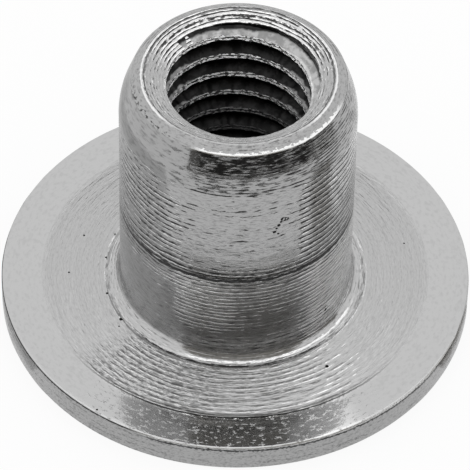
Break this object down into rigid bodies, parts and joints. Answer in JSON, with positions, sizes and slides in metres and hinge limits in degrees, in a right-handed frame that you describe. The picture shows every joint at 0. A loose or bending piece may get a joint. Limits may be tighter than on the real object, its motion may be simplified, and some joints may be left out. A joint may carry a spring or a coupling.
{
  "type": "sleeve nut",
  "caption": "Turned steel sleeve nut: a round barrel with a wide flat flange at its foot, a tapered lead with a bevelled lip, and a threaded hole right through for a machine screw.",
  "frame": {"origin": "centre of the flange's underside, on the thread's axis", "axes": "+Z along the thread's axis, from the flange towards the barrel's open end; the part is round, so X and Y are free"},
  "size_m": [0.0284, 0.0284, 0.0186],
  "materials": {
    "plated_steel": "turned steel with a thin bright zinc plating, fine turning marks, satin"
  },
  "bodies": {
    "root": {"sleeve_nut": "plated_steel"}
  },
  "joints": []
}
